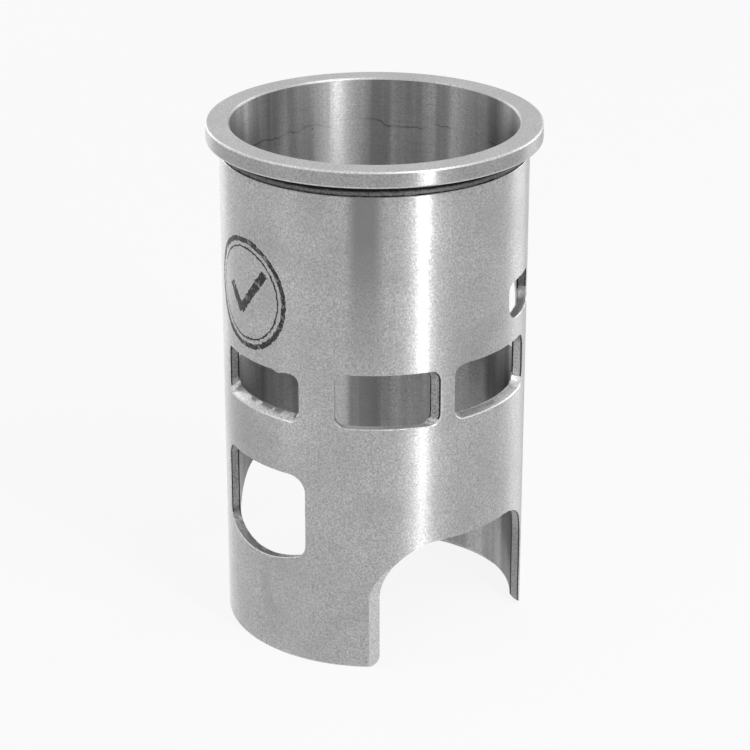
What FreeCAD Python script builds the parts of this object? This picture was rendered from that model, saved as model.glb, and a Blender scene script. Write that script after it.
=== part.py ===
# Ported iron liner of a two-stroke engine: one spun-cast sleeve with a thin top flange,
# a belt of ports round its middle, an intake window low on one side and a skirt that is
# cut away under both ends of the crankshaft, which leaves two flat-footed legs.
#
# Frame: origin on the bore axis at the feet, +Z up to the deck. The intake side faces -Y,
# the exhaust side +Y, and the crankshaft lies along X. Azimuths are counted from -Y
# towards +X. All lengths are millimetres, all angles degrees.
import FreeCAD, Part
import math
import os
import sys

import Sketcher

NODE = "cylinder_liner"
DOC = FreeCAD.newDocument("CylinderLiner")
SHEET = DOC.addObject("Spreadsheet::Sheet", "Sheet")

# The driving dimensions: alias, value, meaning.
DIMENSIONS = [
    ("LinerHeight", 122.6, "feet to deck face"),
    ("BoreDia", 66.4, "honed bore"),
    ("BodyDia", 71.2, "turned outside, pressed into the cylinder block"),
    ("FlangeDia", 77.2, "top flange"),
    ("FlangeThick", 3.9, "height of the flange rim"),
    ("FlangeChamfer", 0.4, "broken edges of the flange rim"),
    ("ReliefWidth", 2.85, "grinding relief under the flange"),
    ("ReliefDepth", 0.45, "depth of that relief below the body"),
    ("MouthChamfer", 0.35, "chamfer at the top of the bore"),
    ("SkirtLeadIn", 1.7, "chamfer at the bottom of the bore, which lets the rings in"),
    ("PortZoneTop", 95.0, "height above which the wall is whole"),
    ("SkirtCutTop", 31.4, "top of the crank-web cut-aways"),
    ("SkirtCutCorner", 13.2, "corner radius of the cut-aways"),
    ("SkirtCutIntake", 21.8, "cut-away edge on the intake side, from the axis"),
    ("SkirtCutExhaust", 23.8, "cut-away edge on the exhaust side, from the axis"),
    ("FootHeight", 3.0, "height at which the lower corners of the legs begin to round"),
    ("FootRadius", 3.5, "radius of those corners"),
    ("IntakeWidth", 28.0, "intake window, across"),
    ("IntakeTop", 47.0, "top edge of the intake window"),
    ("IntakeSill", 24.2, "lowest point of the window's curved sill"),
    ("IntakeSillRadius", 33.0, "curve of the sill"),
    ("IntakeCorner", 3.8, "corners of the intake window"),
    ("BoostHalfAngle", 21.0, "boost port, half its span"),
    ("BoostTop", 71.9, "boost port roof at the outside"),
    ("BoostFloor", 60.3, "boost port floor at the outside"),
    ("BoostRise", 33.0, "upward slope of the boost port towards the bore"),
    ("BoostCorner", 2.2, "corners of the boost port"),
    ("RearCentre", 55.4, "azimuth of the rear transfer port"),
    ("RearHalfAngle", 19.8, "rear transfer port, half its span"),
    ("RearLean", 3.4, "turn of its exhaust-side wall towards the intake"),
    ("RearLeanNear", 1.4, "turn of its intake-side wall"),
    ("RearTop", 73.8, "rear transfer port roof"),
    ("RearFloor", 60.8, "rear transfer port floor"),
    ("FrontCentre", 103.8, "azimuth of the front transfer port"),
    ("FrontHalfAngle", 22.9, "front transfer port, half its span"),
    ("FrontTop", 74.2, "front transfer port roof at the outside"),
    ("FrontFloor", 60.9, "front transfer port floor at the outside"),
    ("FrontRise", 20.0, "upward slope of the front transfer port"),
    ("TransferCorner", 2.5, "corners of the transfer ports"),
    ("ExhaustWidth", 39.0, "main exhaust port, across"),
    ("ExhaustTop", 84.0, "main exhaust port roof"),
    ("ExhaustFloor", 64.0, "main exhaust port floor"),
    ("ExhaustTopCorner", 8.0, "upper corners of the main exhaust port"),
    ("ExhaustLowCorner", 5.0, "lower corners of the main exhaust port"),
    ("AuxCentre", 124.0, "azimuth of the auxiliary exhaust port"),
    ("AuxWidth", 17.7, "auxiliary exhaust port, across"),
    ("AuxTop", 88.9, "auxiliary exhaust port roof"),
    ("AuxFloor", 79.8, "auxiliary exhaust port floor"),
    ("AuxTopCorner", 2.0, "upper corners of the auxiliary exhaust port"),
    ("AuxLowCorner", 4.0, "lower corners of the auxiliary exhaust port"),
]


class Dim:
    """A length or an angle: its number, and the sheet formula that gives it."""

    def __init__(self, value, formula):
        self.value = value
        self.formula = formula

    def _join(self, sign, other, value):
        text = other.formula if isinstance(other, Dim) else str(other)
        return Dim(value, "(%s %s %s)" % (self.formula, sign, text))

    def __add__(self, other):
        return self._join("+", other, self.value + number(other))

    def __sub__(self, other):
        return self._join("-", other, self.value - number(other))

    def __mul__(self, other):
        return self._join("*", other, self.value * number(other))

    def __truediv__(self, other):
        return self._join("/", other, self.value / number(other))

    def __neg__(self):
        return Dim(-self.value, "(0 - %s)" % self.formula)


def number(item):
    """The plain number behind a Dim or a number."""
    return item.value if isinstance(item, Dim) else item


def sine(angle):
    return Dim(math.sin(math.radians(angle.value)), "sin(%s)" % angle.formula)


def cosine(angle):
    return Dim(math.cos(math.radians(angle.value)), "cos(%s)" % angle.formula)


def tangent(angle):
    return Dim(math.tan(math.radians(angle.value)), "tan(%s)" % angle.formula)


def square_root(item):
    return Dim(math.sqrt(item.value), "sqrt(%s)" % item.formula)


def fill_sheet():
    """Writes the dimensions into the sheet and returns them as Dims."""
    dims = {}
    for row, (alias, value, meaning) in enumerate(DIMENSIONS, start=1):
        SHEET.set("A%d" % row, alias)
        SHEET.set("B%d" % row, str(value))
        SHEET.set("C%d" % row, meaning)
        SHEET.setAlias("B%d" % row, alias)
        dims[alias] = Dim(value, "Sheet." + alias)
    DOC.recompute()
    return dims


D = fill_sheet()
ZERO = Dim(0.0, "0")
BORE_R = D["BoreDia"] / 2
BODY_R = D["BodyDia"] / 2
FLANGE_R = D["FlangeDia"] / 2
SPARE = 4.0  # how far a cutting profile runs past the wall, inside and out
TOUCH = 0.05  # how near to the bore or to the outside a port's corner has to end
BETWEEN = 30.0  # an azimuth in the bridge between the boost port and a rear transfer port

BODY = DOC.addObject("PartDesign::Body", "LinerBody")
BODY.Label = NODE


def origin_plane(role):
    for feature in BODY.Origin.OriginFeatures:
        if feature.Role == role:
            return feature
    raise ValueError("no origin feature " + role)


def new_sketch(name, role):
    sketch = BODY.newObject("Sketcher::SketchObject", name)
    sketch.AttachmentSupport = [(origin_plane(role), "")]
    sketch.MapMode = "FlatFace"
    return sketch


def turn_about_bore(sketch, azimuth, quarter=0.0):
    """Swings an upright sketch about the bore axis, to the azimuth less a quarter turn."""
    angle = azimuth - quarter
    rotation = FreeCAD.Rotation(FreeCAD.Vector(0, 1, 0), angle.value)
    sketch.AttachmentOffset = FreeCAD.Placement(FreeCAD.Vector(), rotation)
    # A rotation keeps its axis pointing the way that makes its angle positive.
    sign = sketch.AttachmentOffset.Rotation.Axis.y
    bound = angle if sign > 0 else -angle
    sketch.setExpression("AttachmentOffset.Rotation.Angle", bound.formula)


def fix_vertex(sketch, edge, end, point):
    """Holds one end of an edge at a place that the sheet gives."""
    for kind, coordinate in zip(("DistanceX", "DistanceY"), point):
        index = sketch.addConstraint(
            Sketcher.Constraint(kind, -1, 1, edge, end, coordinate.value))
        sketch.setExpression("Constraints[%d]" % index, coordinate.formula)


def draw_outline(sketch, points, arcs=None):
    """Closed outline through the points. arcs maps the number of a side to its radius
    and its way round: +1 where the arc's centre is on the left of the side, -1 if right."""
    arcs = arcs or {}
    count = len(points)
    vectors = [FreeCAD.Vector(x.value, y.value, 0) for x, y in points]
    for side in range(count):
        start = vectors[side]
        end = vectors[(side + 1) % count]
        if side not in arcs:
            sketch.addGeometry(Part.LineSegment(start, end), False)
            continue
        radius, way = arcs[side]
        chord = end - start
        left = FreeCAD.Vector(-chord.y, chord.x, 0).normalize()
        rise = math.sqrt(radius.value ** 2 - (chord.Length / 2) ** 2)
        centre = start + chord / 2 + left * (rise * way)
        bulge = (start + chord / 2 - centre).normalize() * radius.value
        sketch.addGeometry(Part.Arc(start, centre + bulge, end), False)
    for side in range(count):
        # An arc that runs clockwise is stored turned round, so its ends swap.
        first, last = (2, 1) if side in arcs and arcs[side][1] < 0 else (1, 2)
        following = (side + 1) % count
        next_first = 2 if following in arcs and arcs[following][1] < 0 else 1
        sketch.addConstraint(
            Sketcher.Constraint("Coincident", side, last, following, next_first))
        fix_vertex(sketch, side, first, points[side])
        if side in arcs:
            index = sketch.addConstraint(
                Sketcher.Constraint("Radius", side, arcs[side][0].value))
            sketch.setExpression("Constraints[%d]" % index, arcs[side][0].formula)
    return sketch


def revolve(kind, name, sketch, angle):
    """A revolution or groove about the bore axis, an equal angle each side of the sketch."""
    feature = BODY.newObject("PartDesign::" + kind, name)
    feature.Profile = sketch
    feature.Refine = False  # the two faces of the bore stay apart
    feature.ReferenceAxis = (sketch, ["V_Axis"])
    if angle is None:
        feature.Angle = 360.0
    else:
        feature.Midplane = True
        feature.Angle = angle.value
        feature.setExpression("Angle", angle.formula)
    return finish(feature, kind == "Groove")


def pocket(name, sketch, length, both_ways=False):
    """Cuts from the sketch plane along its normal, or to both sides of it."""
    feature = BODY.newObject("PartDesign::Pocket", name)
    feature.Profile = sketch
    feature.Refine = False
    feature.Reversed = not both_ways
    feature.Midplane = both_ways
    feature.Length = length.value
    feature.setExpression("Length", length.formula)
    return finish(feature, True)


def finish(feature, cuts):
    """Recomputes a feature, and stops the build if a cut has removed nothing."""
    before = BODY.Tip.BaseFeature.Shape.Volume if cuts else 0.0
    DOC.recompute()
    change = feature.Shape.Volume - before
    if cuts and change > -1.0:
        raise ValueError("%s removes nothing" % feature.Name)
    print("%-18s %8.0f mm3" % (feature.Name, change))
    return feature


def radius_of(point):
    return math.hypot(point.x, point.y)


def azimuth_of(point):
    return math.degrees(math.atan2(point.x, -point.y))


def corner_edges(shape, heights, azimuths):
    """Names of the edges that run straight through the wall, between two heights and
    between two azimuths either side of the intake."""
    low, high = heights
    nearest, furthest = azimuths
    names = []
    for index, edge in enumerate(shape.Edges, start=1):
        if len(edge.Vertexes) != 2:
            continue
        first, last = (vertex.Point for vertex in edge.Vertexes)
        radii = sorted((radius_of(first), radius_of(last)))
        inside = abs(radii[0] - BORE_R.value) < TOUCH
        outside = abs(radii[1] - BODY_R.value) < TOUCH
        level = low <= min(first.z, last.z) and max(first.z, last.z) <= high
        around = nearest <= abs(azimuth_of(first)) <= furthest
        if inside and outside and level and around:
            names.append("Edge%d" % index)
    return names


def round_corners(name, heights, azimuths, radius, expected):
    """Rounds the port corners that lie between two heights and two azimuths."""
    base = BODY.Tip
    names = corner_edges(base.Shape, heights, azimuths)
    if len(names) != expected:
        raise ValueError("%s found %d corners" % (name, len(names)))
    feature = BODY.newObject("PartDesign::Fillet", name)
    feature.Base = (base, names)
    feature.Refine = False
    feature.Radius = radius.value
    feature.setExpression("Radius", radius.formula)
    DOC.recompute()
    print("%-18s %d corners" % (name, len(names)))
    return feature


def turn_blank():
    """The turned sleeve: bore, body, grinding relief and flange in one section. The bore
    is drawn as two faces, the whole one above the ports and the ported one below."""
    top = D["LinerHeight"]
    seat = top - D["FlangeThick"]
    relief_r = BODY_R - D["ReliefDepth"]
    relief_low = seat - D["ReliefWidth"]
    section = [
        (BORE_R + D["SkirtLeadIn"], ZERO),
        (BODY_R, ZERO),
        (BODY_R, relief_low),
        (relief_r, relief_low),
        (relief_r, seat),
        (FLANGE_R - D["FlangeChamfer"], seat),
        (FLANGE_R, seat + D["FlangeChamfer"]),
        (FLANGE_R, top - D["FlangeChamfer"]),
        (FLANGE_R - D["FlangeChamfer"], top),
        (BORE_R + D["MouthChamfer"], top),
        (BORE_R, top - D["MouthChamfer"]),
        (BORE_R, D["PortZoneTop"]),
        (BORE_R, D["SkirtLeadIn"]),
    ]
    sketch = draw_outline(new_sketch("SectionSketch", "XZ_Plane"), section)
    revolve("Revolution", "TurnedBlank", sketch, None)


def cut_skirt():
    """The crank-web cut-aways: one milled arch that runs straight through along X."""
    corner = D["SkirtCutCorner"]
    foot = D["FootHeight"]
    round_foot = D["FootRadius"]
    left = -D["SkirtCutIntake"]
    right = D["SkirtCutExhaust"]
    # The foot arc ends a little below the feet, so it crosses their plane at an angle.
    drop = 0.4
    fall = foot + drop
    flare = round_foot - square_root(round_foot * round_foot - fall * fall)
    below = ZERO - SPARE
    arch = [
        (left - flare, below),
        (right + flare, below),
        (right + flare, ZERO - drop),
        (right, foot),
        (right, D["SkirtCutTop"] - corner),
        (right - corner, D["SkirtCutTop"]),
        (left + corner, D["SkirtCutTop"]),
        (left, D["SkirtCutTop"] - corner),
        (left, foot),
        (left - flare, ZERO - drop),
    ]
    arcs = {2: (round_foot, -1), 4: (corner, 1), 6: (corner, 1), 8: (round_foot, -1)}
    sketch = draw_outline(new_sketch("SkirtCutSketch", "YZ_Plane"), arch, arcs)
    pocket("SkirtCut", sketch, D["FlangeDia"], both_ways=True)


def cut_intake():
    """The intake window: square top, sill curved like the edge of the crankcase mouth."""
    half = D["IntakeWidth"] / 2
    radius = D["IntakeSillRadius"]
    shoulder = D["IntakeSill"] + radius - square_root(radius * radius - half * half)
    window = [
        (-half, shoulder),
        (half, shoulder),
        (half, D["IntakeTop"]),
        (-half, D["IntakeTop"]),
    ]
    sketch = draw_outline(new_sketch("IntakeSketch", "XZ_Plane"), window, {0: (radius, 1)})
    pocket("IntakeWindow", sketch, FLANGE_R)
    heights = (D["IntakeSill"].value, D["IntakeTop"].value + 1)
    round_corners("IntakeCorners", heights, (0, BETWEEN), D["IntakeCorner"], 4)


def sloping_port(name, azimuth, half_angle, floor, roof, rise):
    """A port whose floor and roof climb towards the bore, swept about the bore axis."""
    inner = BORE_R - SPARE
    outer = BODY_R + SPARE
    slope = tangent(rise)
    climb_in = slope * (BODY_R - inner)
    drop_out = slope * SPARE
    section = [
        (inner, floor + climb_in),
        (outer, floor - drop_out),
        (outer, roof - drop_out),
        (inner, roof + climb_in),
    ]
    sketch = new_sketch(name + "Sketch", "XZ_Plane")
    turn_about_bore(sketch, azimuth, 90)
    draw_outline(sketch, section)
    revolve("Groove", name, sketch, half_angle * 2)


def wall_line(outer_azimuth, inner_azimuth, side):
    """Both ends of a port wall in plan, run past the bore and past the outside."""
    across = sine(outer_azimuth) * BODY_R
    along = -(cosine(outer_azimuth) * BODY_R)
    inner_x = sine(inner_azimuth) * BORE_R
    inner_y = -(cosine(inner_azimuth) * BORE_R)
    # The outer end lies this many wall lengths from the bore, well outside the body.
    reach = 2.6
    step_x = across - inner_x
    step_y = along - inner_y
    outer_end = ((inner_x + step_x * reach) * side, inner_y + step_y * reach)
    inner_end = ((inner_x - step_x) * side, inner_y - step_y)
    return outer_end, inner_end


def level_port(name, side):
    """The rear transfer port: level floor and roof, side walls that aim at the intake."""
    near = D["RearCentre"] - D["RearHalfAngle"]
    far = D["RearCentre"] + D["RearHalfAngle"]
    near_out, near_in = wall_line(near, near - D["RearLeanNear"], side)
    far_out, far_in = wall_line(far, far - D["RearLean"], side)
    sketch = new_sketch(name + "Sketch", "XY_Plane")
    sketch.AttachmentOffset = FreeCAD.Placement(
        FreeCAD.Vector(0, 0, D["RearFloor"].value), FreeCAD.Rotation())
    sketch.setExpression("AttachmentOffset.Base.z", D["RearFloor"].formula)
    plan = [near_out, far_out, far_in, near_in]
    draw_outline(sketch, plan if side > 0 else plan[::-1])
    pocket(name, sketch, D["RearTop"] - D["RearFloor"])


def cut_transfers():
    """Boost port at the intake side, and a front and a rear transfer port each side."""
    sloping_port("BoostPort", ZERO, D["BoostHalfAngle"],
                 D["BoostFloor"], D["BoostTop"], D["BoostRise"])
    belt = (D["BoostFloor"].value - 1, D["ExhaustTop"].value)
    round_corners("BoostCorners", belt, (0, BETWEEN), D["BoostCorner"], 4)
    for name, side in (("Right", 1), ("Left", -1)):
        sloping_port("Front" + name, D["FrontCentre"] * side, D["FrontHalfAngle"],
                     D["FrontFloor"], D["FrontTop"], D["FrontRise"])
        level_port("Rear" + name, side)
    round_corners("TransferCorners", belt, (BETWEEN, 180), D["TransferCorner"], 16)


def straight_window(name, azimuth, width, floor, roof, low_corner, top_corner):
    """A port milled straight in at one azimuth, with rounded corners."""
    half = width / 2
    outline = [
        (-half + low_corner, floor),
        (half - low_corner, floor),
        (half, floor + low_corner),
        (half, roof - top_corner),
        (half - top_corner, roof),
        (-half + top_corner, roof),
        (-half, roof - top_corner),
        (-half, floor + low_corner),
    ]
    arcs = {1: (low_corner, 1), 3: (top_corner, 1), 5: (top_corner, 1), 7: (low_corner, 1)}
    sketch = new_sketch(name + "Sketch", "XZ_Plane")
    turn_about_bore(sketch, azimuth)
    draw_outline(sketch, outline, arcs)
    pocket(name, sketch, FLANGE_R)


def cut_exhaust():
    """The wide main exhaust port, and a higher auxiliary one on each side of it."""
    straight_window("ExhaustPort", Dim(180.0, "180"), D["ExhaustWidth"],
                    D["ExhaustFloor"], D["ExhaustTop"],
                    D["ExhaustLowCorner"], D["ExhaustTopCorner"])
    for name, side in (("AuxRight", 1), ("AuxLeft", -1)):
        straight_window(name, D["AuxCentre"] * side, D["AuxWidth"],
                        D["AuxFloor"], D["AuxTop"],
                        D["AuxLowCorner"], D["AuxTopCorner"])


def check_and_export():
    """Stops on any failed object, then writes the solid."""
    DOC.recompute()
    for item in DOC.Objects:
        if "Invalid" in item.State or "Error" in item.State:
            raise ValueError("%s has failed" % item.Name)
    shape = BODY.Shape
    if shape.isNull() or not shape.isValid() or len(shape.Solids) != 1:
        raise ValueError("the liner is not one valid solid")
    os.makedirs("parts", exist_ok=True)
    shape.exportStep(os.path.join("parts", BODY.Label + ".step"))
    box = shape.BoundBox
    print("%s %.1f x %.1f x %.1f mm, %.0f mm3, %d faces" % (
        BODY.Label, box.XLength, box.YLength, box.ZLength, shape.Volume, len(shape.Faces)))


turn_blank()
cut_transfers()
cut_exhaust()
cut_intake()
cut_skirt()
check_and_export()
sys.stdout.flush()
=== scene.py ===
# %% [markdown]
# A ported iron cylinder liner, dressed for its picture.
#
# The real part is one spun-cast iron sleeve. It was turned outside, bored and honed inside,
# and its ports and skirt were milled through the wall and deburred by hand. What the eye
# reads is bare grey metal: a fine turning grain that pulls every reflection into an upright
# streak, port faces that look up painted lighter than the sides and roofs, and thin bright
# lines where edges were broken, partly painted highlight, with lines of painted shade beside them.
#
# The CAD model gives the frame. The sleeve is rebuilt here from the same dimensions with
# much finer facets and with broken edges, and stands for the CAD node.

import math

import bmesh
import bpy
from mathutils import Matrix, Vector, noise


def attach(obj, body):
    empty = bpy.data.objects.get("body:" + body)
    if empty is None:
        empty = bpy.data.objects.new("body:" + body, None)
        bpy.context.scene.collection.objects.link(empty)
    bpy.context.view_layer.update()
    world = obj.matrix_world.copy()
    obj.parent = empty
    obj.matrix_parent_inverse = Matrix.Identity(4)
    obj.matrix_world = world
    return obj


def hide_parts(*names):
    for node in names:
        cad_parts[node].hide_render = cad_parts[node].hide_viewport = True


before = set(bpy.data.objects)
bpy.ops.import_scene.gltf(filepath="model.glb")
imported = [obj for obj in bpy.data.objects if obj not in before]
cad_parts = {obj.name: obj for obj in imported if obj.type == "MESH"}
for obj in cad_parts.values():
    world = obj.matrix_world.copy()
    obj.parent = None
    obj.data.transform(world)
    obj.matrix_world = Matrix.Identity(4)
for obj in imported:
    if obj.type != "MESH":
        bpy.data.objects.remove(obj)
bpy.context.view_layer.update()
NODE = "cylinder_liner"
MM = 0.001

# %% [markdown]
# Sizes first. They are the ones the part was drawn with, in millimetres. Azimuths are
# counted from the intake side (-Y) towards +X, because every port is placed that way.

# %% Sizes of the sleeve
HEIGHT = 122.6
BORE_R = 33.2
BODY_R = 35.6
FLANGE_R = 38.6
FLANGE_T = 3.9
RELIEF_W = 2.85
RELIEF_R = BODY_R - 0.45
MOUTH = 0.35
LEAD_IN = 1.7
SEAT = HEIGHT - FLANGE_T
print("wall", round(BODY_R - BORE_R, 2), "mm, seat at", SEAT, "mm")

# %% [markdown]
# The sleeve's tree and all its materials are built by one small function. It adds a node,
# sets its options, and links or fills its sockets, so that each call reads as one node.


# %% Adding a node
def add(tree, kind, inputs=None, **settings):
    """Adds a node. A socket given as an input is linked, anything else is its value."""
    node = tree.nodes.new(kind)
    for name, value in settings.items():
        setattr(node, name, value)
    for key, value in (inputs or {}).items():
        if isinstance(value, bpy.types.NodeSocket):
            tree.links.new(value, node.inputs[key])
        else:
            node.inputs[key].default_value = value
    return node


# %% [markdown]
# The blank. On the lathe it is one section turned about the bore axis. A Screw modifier or
# bmesh's spin would do it too, but a Geometry Nodes tree can also mirror the ports and cut
# them, so the whole sleeve stays one rule with a few named sizes. Here is the section that
# the tree turns: bore, lead-in chamfer, body, grinding relief and flange. Broken edges are
# short arcs, since a real edge is never a knife edge and the small round catches the light.


# %% The section of the blank
def arc(centre, radius, start, end, steps):
    """Points on an arc in a plane, angles in degrees."""
    points = []
    for i in range(steps + 1):
        angle = math.radians(start + (end - start) * i / steps)
        points.append((centre[0] + radius * math.cos(angle), centre[1] + radius * math.sin(angle)))
    return points


def blank_section():
    """The turned section as (radius, height) in mm, going round the metal."""
    foot = 0.3
    rim = 0.45
    lip = 0.12
    fillet = 0.25
    groove = SEAT - RELIEF_W
    points = [(BORE_R + LEAD_IN, 0.0)]
    points += arc((BODY_R - foot, foot), foot, -90, 0, 3)
    points += [(BODY_R, groove - lip), (BODY_R - lip, groove)]
    points += [(RELIEF_R + fillet, groove), (RELIEF_R, groove + fillet)]
    points += [(RELIEF_R, SEAT - fillet), (RELIEF_R + fillet, SEAT)]
    points += arc((FLANGE_R - rim, SEAT + rim), rim, -90, 0, 3)
    points += arc((FLANGE_R - rim, HEIGHT - rim), rim, 0, 90, 4)
    points += [(BORE_R + MOUTH, HEIGHT), (BORE_R + 0.08, HEIGHT - MOUTH + 0.06)]
    points += [(BORE_R, HEIGHT - MOUTH - lip)]
    points += [(BORE_R, LEAD_IN + 0.2), (BORE_R + 0.15, LEAD_IN - 0.1)]
    return points


def mesh_object(name, verts, edges=(), faces=()):
    """A new object from points given in mm."""
    mesh = bpy.data.meshes.new(name)
    mesh.from_pydata([[c * MM for c in v] for v in verts], list(edges), list(faces))
    thing = bpy.data.objects.new(name, mesh)
    bpy.context.scene.collection.objects.link(thing)
    return thing


section = blank_section()
section_object = mesh_object("blank_section", [(r, 0.0, z) for r, z in section])
print("section of", len(section), "points")

# %% [markdown]
# The ports' own sizes, as they were drawn. A port is placed by the azimuth of its middle, a
# half angle is taken on the outside of the wall, and heights are counted from the feet.
# Where a port has two corner radii, the lower corners' comes first. Only the front port has
# more here than in the drawing: its far wall turns, and its far corners are rounder.

# %% Sizes of the ports
BOOST_HALF_ANGLE = 21.0
BOOST_FLOOR = 60.3
BOOST_ROOF = 71.9
BOOST_CORNER = 2.2
BOOST_CLIMB = 33.0
EXHAUST_HALF_WIDTH = 19.5
EXHAUST_FLOOR = 64.0
EXHAUST_ROOF = 84.0
EXHAUST_CORNERS = (5.0, 8.0)
REAR_AZIMUTH = 55.4
REAR_HALF_ANGLE = 19.8
REAR_FLOOR = 60.8
REAR_ROOF = 73.8
REAR_CORNER = 2.5
REAR_TURN_NEAR = 1.4
REAR_TURN_FAR = 3.4
FRONT_AZIMUTH = 103.8
FRONT_HALF_ANGLE = 22.9
FRONT_FLOOR = 60.9
FRONT_ROOF = 74.2
FRONT_CORNER = 2.5
FRONT_LOW_FAR_CORNER = 3.5
FRONT_HIGH_FAR_CORNER = 5.0
FRONT_SHARPEST = 1.5
FRONT_CLIMB = 20.0
FRONT_TURN = 2.9
AUX_AZIMUTH = 124.0
AUX_HALF_WIDTH = 8.85
AUX_FLOOR = 79.8
AUX_ROOF = 88.9
AUX_CORNERS = (4.0, 2.0)
ARCH_CORNER = 13.2
ARCH_INTAKE_SIDE = -21.8
print("ports from", BOOST_FLOOR, "to", AUX_ROOF, "mm above the feet")

# %% [markdown]
# The ports. Each one is an outline on the wall, carried through the wall as a ruled tool:
# the sloping ports climb towards the bore, the windows are milled straight in, and the
# skirt arch runs along the crankshaft. Booleans with plain blocks would leave knife edges,
# and a Bevel modifier breaks down on a wall with so many narrow facets. So each tool flares
# by a few tenths where it leaves the wall, and the cut comes out with its edges broken. The
# flare wavers a little along the outline, as a hand-held deburring tool does.


# %% Outlines
def dense(points, step=0.8):
    """The closed outline with no side longer than the step."""
    result = []
    for i, start in enumerate(points):
        end = points[(i + 1) % len(points)]
        parts = max(1, math.ceil(math.dist(start, end) / step))
        for j in range(parts):
            t = j / parts
            result.append((start[0] + (end[0] - start[0]) * t, start[1] + (end[1] - start[1]) * t))
    return result


def four_corners(left, right, low, high, radii, steps=8):
    """A rounded rectangle, counter-clockwise from its lower left corner, as its radii are."""
    a, b, c, d = radii
    points = arc((left + a, low + a), a, 180, 270, steps)
    points += arc((right - b, low + b), b, 270, 360, steps)
    points += arc((right - c, high - c), c, 0, 90, steps)
    points += arc((left + d, high - d), d, 90, 180, steps)
    return dense(points)


def rounded_box(left, right, low, high, low_r, high_r):
    """The same with one radius for both lower corners, and one for both upper ones."""
    return four_corners(left, right, low, high, (low_r, low_r, high_r, high_r))


def intake_outline():
    """Square top, and a sill that is an arc of 33 mm radius, all four corners rounded."""
    half = 14.0
    top = 47.0
    corner = 3.8
    sill_r = 33.0
    sill_y = 24.2 + sill_r
    corner_x = half - corner
    corner_y = sill_y - math.sqrt((sill_r - corner) ** 2 - corner_x ** 2)
    lean = math.degrees(math.atan2(corner_y - sill_y, corner_x))
    points = arc((0, sill_y), sill_r, -180 - lean, lean, 40)
    points += arc((corner_x, corner_y), corner, lean, 0, 8)[1:]
    points += arc((corner_x, top - corner), corner, 0, 90, 8)
    points += arc((-corner_x, top - corner), corner, 90, 180, 8)
    points += arc((-corner_x, corner_y), corner, 180, 180 - lean, 8)[:-1]
    return dense(points)


def skirt_outline():
    """The arch under the crank web, from one leg to the other, open at the feet."""
    top = 31.4
    corner = ARCH_CORNER
    intake = ARCH_INTAKE_SIDE
    exhaust = 23.8
    foot = 3.0
    foot_r = 3.5
    flare = 2.7
    low = -5.0
    sweep = math.degrees(math.asin(3.4 / foot_r))
    points = [(intake - flare, low), (exhaust + flare, low)]
    points += arc((exhaust + foot_r, foot), foot_r, 180 + sweep, 180, 7)
    points += arc((exhaust - corner, top - corner), corner, 0, 90, 24)
    points += arc((intake + corner, top - corner), corner, 90, 180, 24)
    points += arc((intake - foot_r, foot), foot_r, 0, -sweep, 7)
    return dense(points)


print("intake outline", len(intake_outline()), "points, skirt", len(skirt_outline()))

# %% [markdown]
# A port isn't the same on both faces of the wall. The core or the cutter that made it came
# in at a slope or at a turn, which steers the stream. So each port has a function that
# gives the azimuth and the height of a point of its outline at any radius.


# %% Ways to carry an outline through the wall
def straight(azimuth):
    """Milled straight in: the outline's first number is a distance across."""
    def place(point, radius):
        across = max(-radius * 0.999, min(radius * 0.999, point[0]))
        return math.radians(azimuth) + math.asin(across / radius), point[1]
    return place


def climbing(azimuth, rise):
    """Radial sides, floor and roof that climb towards the bore by so many degrees."""
    def place(point, radius):
        lift = (BODY_R - radius) * math.tan(math.radians(rise))
        return math.radians(azimuth) + point[0] / BODY_R, point[1] + lift
    return place


def climbing_and_leaning(azimuth, rise, near, far, turn, roof, corner, sharpest):
    """As climbing, with a far side that turns towards the intake on its way in, and an
    upper far corner that sharpens from one radius to another."""
    def place(point, radius):
        u, v = point
        depth = max(0.0, min(1.0, (BODY_R - radius) / (BODY_R - BORE_R)))
        if u > far - corner and v > roof - corner:
            shrink = 1.0 - (1.0 - sharpest / corner) * depth
            u = far - (far - u) * shrink
            v = roof - (roof - v) * shrink
        lift = (BODY_R - radius) * math.tan(math.radians(rise))
        lean = turn * depth * (u - near) / (far - near)
        return math.radians(azimuth - lean) + u / BODY_R, v + lift
    return place


def leaning(azimuth, near, far, turn_near, turn_far):
    """Level floor and roof, sides that turn towards the intake on their way in."""
    def place(point, radius):
        share = (point[0] - near) / (far - near)
        turn = turn_near + (turn_far - turn_near) * share
        depth = (BODY_R - radius) / (BODY_R - BORE_R)
        return math.radians(azimuth - turn * depth) + point[0] / BODY_R, point[1]
    return place


# %% A tool from an outline
def outward(loop):
    """Unit normals of a counter-clockwise closed outline, pointing out of it."""
    normals = []
    for i in range(len(loop)):
        before = loop[i - 1]
        after = loop[(i + 1) % len(loop)]
        dx = after[0] - before[0]
        dy = after[1] - before[1]
        size = math.hypot(dx, dy) or 1.0
        normals.append((dy / size, -dx / size))
    return normals


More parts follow.
